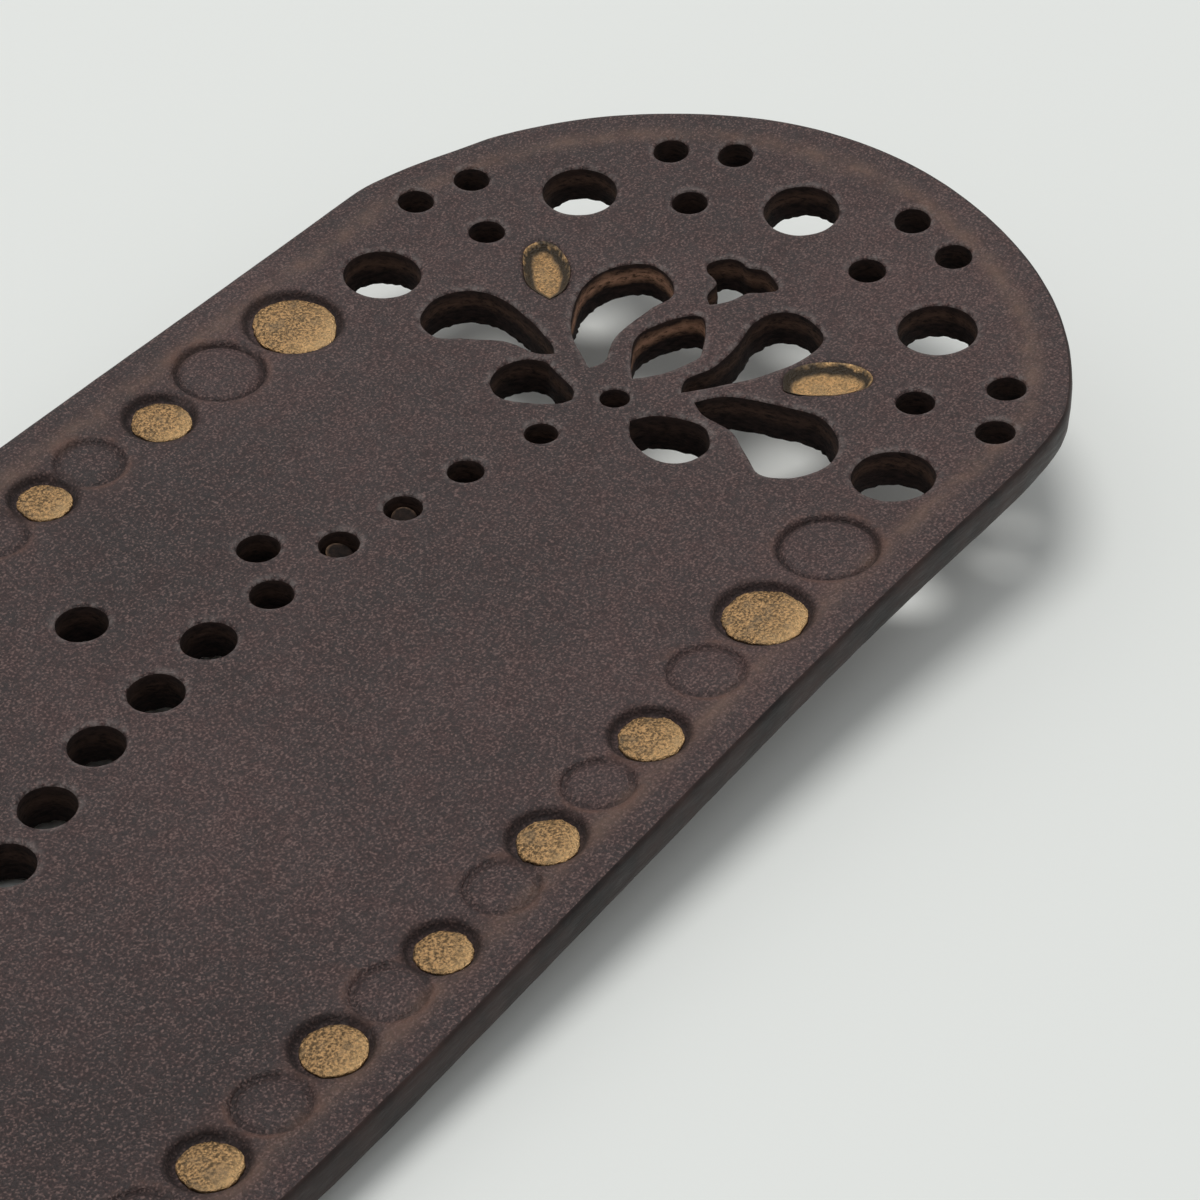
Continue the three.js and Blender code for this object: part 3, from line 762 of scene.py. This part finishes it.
spot_gold = gold_paint("gold_spot_paint")
slip = np.array((0.02, -0.1))  # the brush slips to one side and leaves the groove open on the other
spot_angles = np.arange(gold_spokes) * 2 * math.pi / gold_spokes
for half, end in ((1, "front"), (-1, "back")):
    for side, row in ((1, left_row), (-1, right_row)):
        golds = [spot for i, spot in enumerate(row) if (i % 2 == 0) == (side > 0)]
        for k, (back, inset, radius) in enumerate(golds):
            name = f"{end}_{'left' if side > 0 else 'right'}_{k + 1}"
            middle = np.array((head[0] - back, side * (strap_width / 2 - inset))) * half
            spin = np.column_stack((np.cos(spot_angles), np.sin(spot_angles)))
            ragged = rough(spin * 1.5 + middle, 1.0, 31) * 0.08 + rough(spin * 7 + middle, 1.0, 8) * 0.035
            reach = (radius - spot_margin) * (1 + ragged)
            rings, bare, painted_highlight = [], [], []
            for share in gold_ring_shares:
                spots = middle + slip * half * share + spin * (reach * share)[:, None]
                crown = spot_crown + 0.14 * share**3 + 0.05 * rough(spots, 0.6, 4)
                rings.append(np.column_stack((spots, strap_thickness - crown)))
                bare.append(np.full(gold_spokes, 0.0))
                # The painted highlight lies on the outer part of each spot, on the side the brush slipped to
                painted_highlight.append(np.clip(spin @ slip / 0.1 * half, 0, 1) * share**3)
            foot = middle + slip * half + spin * (reach * 1.02)[:, None]
            rings.append(np.column_stack((foot, np.full(gold_spokes, strap_thickness - spot_foot))))
            bare.append(np.full(gold_spokes, 0.3))
            painted_highlight.append(painted_highlight[-1])
            points = np.vstack(rings[1:])
            centre_top, centre_low = len(points), len(points) + 1
            points = np.vstack((points, rings[0][:1], [(*middle, strap_thickness - spot_underside)]))
            bare = np.concatenate(bare[1:] + [np.zeros(2)])
            painted_highlight = np.concatenate(painted_highlight[1:] + [np.zeros(2)])
            faces = []
            for i in range(gold_spokes):
                j = (i + 1) % gold_spokes
                faces.append((centre_top, i, j))
                for ring in range(len(rings) - 2):
                    a, b = ring * gold_spokes, (ring + 1) * gold_spokes
                    faces.append((a + i, b + i, b + j, a + j))
                last = (len(rings) - 2) * gold_spokes
                faces.append((last + i, centre_low, last + j))
            spot = piece_from(f"gold_spot_{name}", points, faces)
            mark(spot, "bare", bare)
            mark(spot, "painted_highlight", painted_highlight)
            spot.data.materials.append(spot_gold)
            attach(spot, "root")
            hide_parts(f"gold_disc_{name}")

# Gold leaves.  Two leaves of the flower are stamped deep instead of cut out, and their floor is
# painted with the same gold, which creeps up the sloping wall at the round end.
leaf_steps = 20
leaf_crown = 0.77  # depths below the face at the middle of the leaf
leaf_underside = 0.9
leaf_gold = gold_paint("gold_leaf_paint")
for half, end in ((1, "front"), (-1, "back")):
    for side, line in gold_leaf_lines.items():
        loop = even_loop(petal(line), 0.2) * half
        middle = loop.mean(0)
        tip = petal(line)[0] * half
        count = len(loop)
        tops, lows, bare = [], [], []
        for step in range(1, leaf_steps + 1):
            share = 0.985 * step / leaf_steps
            spots = middle + (loop - middle) * share
            inset = gap(leaf_tree, spots)
            depth = np.interp(inset, *np.transpose(leaf_stamp))
            grit = 0.02 * rough(spots, 0.5, 9)
            tops.append(np.column_stack((spots, strap_thickness - depth + 0.05 + grit)))
            lows.append(np.column_stack((spots, strap_thickness - depth - 0.04)))
            wall = np.clip((0.78 - inset + 0.1 * rough(spots, 0.6, 2)) / 0.25, 0, 1)
            far = np.clip(np.hypot(*(spots - tip).T) / 2 - 1.1, 0, 1)
            crust = np.clip((0.14 - inset + 0.3 * rough(spots, 0.3, 6)) / 0.12, 0, 1) * far
            bare.append(wall * (1 - crust))
        points = np.vstack(tops + lows[::-1])
        bare = np.concatenate(bare + bare[::-1])
        centre_top, centre_low = len(points), len(points) + 1
        centre = [(*middle, strap_thickness - leaf_crown)], [(*middle, strap_thickness - leaf_underside)]
        points = np.vstack((points, *centre))
        bare = np.concatenate((bare, np.zeros(2)))
        faces = []
        for i in range(count):
            j = (i + 1) % count
            faces.append((centre_top, i, j))
            for ring in range(2 * leaf_steps - 1):
                a, b = ring * count, (ring + 1) * count
                faces.append((a + i, b + i, b + j, a + j))
            last = (2 * leaf_steps - 1) * count
            faces.append((last + i, centre_low, last + j))
        leaf = piece_from(f"gold_leaf_lining_{end}_{side}", points, faces)
        mark(leaf, "bare", bare)
        # A painted highlight over the whole leaf, stronger on the right one
        mark(leaf, "painted_highlight", bare * 0 + (0.45 if side == "right" else 0.2))
        leaf.data.materials.append(leaf_gold)
        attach(leaf, "root")
        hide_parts(f"gold_leaf_{end}_{side}")

# Punched plugs.  Two of the stem's holes still hold the round plug that the punch cut out, loose
# and tipped over, so that the tan core shows along the lifted side.
plug_finish, tree, surface, place = material_with("loose_plug_leather")
threads = node(tree, "ShaderNodeTexNoise",
               {"Vector": place, "Scale": 2600.0, "Detail": 5.0, "Roughness": 0.7})
colour = remap(tree, threads.outputs["Fac"], 0.35, 0.7)
colour = blend(tree, colour, (0.005, 0.003, 0.0027), (0.026, 0.015, 0.011))
pale = maths(tree, "MULTIPLY", read(tree, "pale"), remap(tree, threads.outputs["Fac"], 0.3, 0.55), True)
colour = blend(tree, pale, colour, (0.42, 0.26, 0.16))
tree.links.new(colour, surface.inputs["Base Color"])
surface.inputs["Roughness"].default_value = 0.8
surface.inputs["Specular IOR Level"].default_value = 0.2
bump = node(tree, "ShaderNodeBump", {"Height": threads.outputs["Fac"], "Strength": 0.8, "Distance": 0.00015})
tree.links.new(bump.outputs[0], surface.inputs["Normal"])

plug_spokes = 40
plug_clearance = 0.36
plug_drop = 0.95  # depths below the face: the plug's rim, the middle of its top, its foot
plug_top = 0.93
plug_foot = 2.4
plug_rings = [(0.35, 0.03), (0.7, 0.02), (0.9, -0.01), (1, -0.1), (1, -0.35), (0.97, -0.8),
              (0.95, -1.3), (0.9, -1.45)]
spin = np.arange(plug_spokes) * 2 * math.pi / plug_spokes
for k, (dot, lifted, tilt) in enumerate(((3, 0.75, 0.34), (4, 1.7, 0.4))):
    back, up, radius = stem_dots[dot]
    middle = root + (-back, up)
    body = radius - plug_clearance
    lift = np.array((math.cos(lifted), math.sin(lifted)))
    rings, pale = [], []
    for share, rise in plug_rings:
        spots = np.column_stack((np.cos(spin), np.sin(spin))) * body * share
        along = spots @ lift
        tilted = spots + lift * (rise * math.sin(tilt))
        height = strap_thickness - plug_drop + rise + along * math.sin(tilt)
        rings.append(np.column_stack((middle + tilted, height + 0.02 * rough(spots, 0.5, k))))
        facing = np.clip(1.2 * along / body, 0, 1) ** 1.3
        pale.append(facing * (0.0, 0.0, 0.3, 1.0, 1.0, 0.5, 0.1, 0)[plug_rings.index((share, rise))])
    points = np.vstack(rings)
    centre_top, centre_low = len(points), len(points) + 1
    centre = [(*middle, strap_thickness - plug_top)], [(*middle, strap_thickness - plug_foot)]
    points = np.vstack((points, *centre))
    faces = []
    for i in range(plug_spokes):
        j = (i + 1) % plug_spokes
        faces.append((centre_top, i, j))
        for ring in range(len(rings) - 1):
            a, b = ring * plug_spokes, (ring + 1) * plug_spokes
            faces.append((a + i, b + i, b + j, a + j))
        last = (len(rings) - 1) * plug_spokes
        faces.append((last + i, centre_low, last + j))
    plug = piece_from(f"loose_plug_{k + 1}", points, faces)
    mark(plug, "pale", np.concatenate(pale + [np.zeros(2)]))
    plug.data.materials.append(plug_finish)
    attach(plug, "root")
    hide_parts(f"punch_plug_{k + 1}")

# Table top.  A plain matt white board, painted and unpolished, that the strap lies on.
# It is part of the setting and not of the strap.
floor_half = 1.5
floor_mesh = bpy.data.meshes.new("table_top")
floor_mesh.from_pydata(
    [(-floor_half, -floor_half, 0), (floor_half, -floor_half, 0), (floor_half, floor_half, 0),
     (-floor_half, floor_half, 0)], [], [(0, 1, 2, 3)],
)
floor = bpy.data.objects.new("table_top", floor_mesh)
bpy.context.scene.collection.objects.link(floor)
board, tree, surface, place = material_with("matt_white_board")
speck = node(tree, "ShaderNodeTexNoise", {"Vector": place, "Scale": 900.0, "Detail": 4.0})
drift = node(tree, "ShaderNodeTexNoise", {"Vector": place, "Scale": 9.0, "Detail": 2.0})
colour = blend(tree, drift.outputs["Fac"], (0.79, 0.81, 0.785), (0.81, 0.825, 0.805))
tree.links.new(colour, surface.inputs["Base Color"])
surface.inputs["Roughness"].default_value = 0.75
bump = node(tree, "ShaderNodeBump", {"Height": speck.outputs["Fac"], "Strength": 0.1, "Distance": 0.0001})
tree.links.new(bump.outputs[0], surface.inputs["Normal"])
floor_mesh.materials.append(board)

# Light.  One round soft lamp almost straight above, leaning a little to the left of the strap,
# and an even pale surround that fills the shadows.
world = bpy.data.worlds.new("surround")
world.use_nodes = True
world.node_tree.nodes["Background"].inputs["Color"].default_value = (0.97, 0.99, 1.0, 1)
world.node_tree.nodes["Background"].inputs["Strength"].default_value = 0.52
bpy.context.scene.world = world


def soft_light(name, towards, distance, size, power, colour):
    lamp = bpy.data.lights.new(name, "AREA")
    lamp.shape = "DISK"
    lamp.size = size
    lamp.energy = power
    lamp.color = colour
    lamp_object = bpy.data.objects.new(name, lamp)
    away = Vector(towards).normalized()
    aim = Vector((0.03, 0, 0))
    turned = away.to_track_quat("Z", "Y").to_matrix().to_4x4()
    lamp_object.matrix_world = Matrix.Translation(aim + away * distance) @ turned
    bpy.context.scene.collection.objects.link(lamp_object)


soft_light("window_light", (0.08, 0.21, 0.975), 1.6, 0.8, 12.0, (1, 0.99, 0.97))
